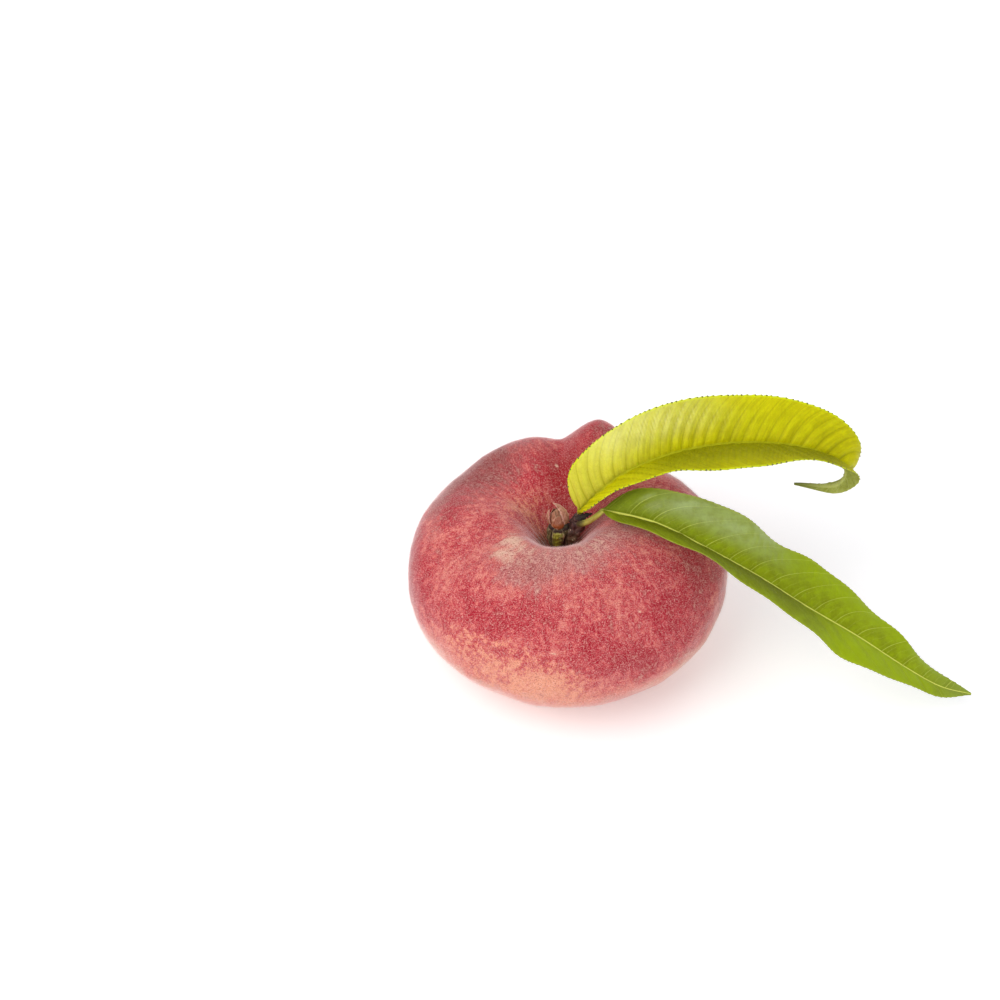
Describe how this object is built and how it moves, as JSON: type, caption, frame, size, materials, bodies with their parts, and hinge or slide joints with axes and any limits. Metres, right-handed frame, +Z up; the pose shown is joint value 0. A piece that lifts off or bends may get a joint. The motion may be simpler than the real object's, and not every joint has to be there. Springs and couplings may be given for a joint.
{
  "type": "flat peach with leaves",
  "caption": "Flat, disc-shaped peach as picked, with a deep stalk cavity and seam, a short woody stalk and two long folded leaves.",
  "frame": {"origin": "on the flat spot that the fruit rests on, under the middle of the stalk", "axes": "+Z up along the stalk, +X towards the side that the two leaves reach out to, +Y towards the seam at the fruit's back"},
  "size_m": [0.1261, 0.0675, 0.0593],
  "materials": {
    "fuzzy_skin": "velvety, short pale down",
    "green_bark": "matte",
    "dry_scale": "papery, matte",
    "dark_bark": "matte",
    "withered_bract": "dry, matte",
    "young_leaf": "soft satin",
    "mature_leaf": "waxy satin"
  },
  "bodies": {
    "root": {"fruit": "fuzzy_skin", "stalk": "green_bark", "bud": "dry_scale", "claw_scale": "dry_scale", "left_scale": "dry_scale", "spur": "dark_bark", "bract": "withered_bract", "upper_leaf": "young_leaf", "lower_leaf": "mature_leaf"}
  },
  "joints": []
}
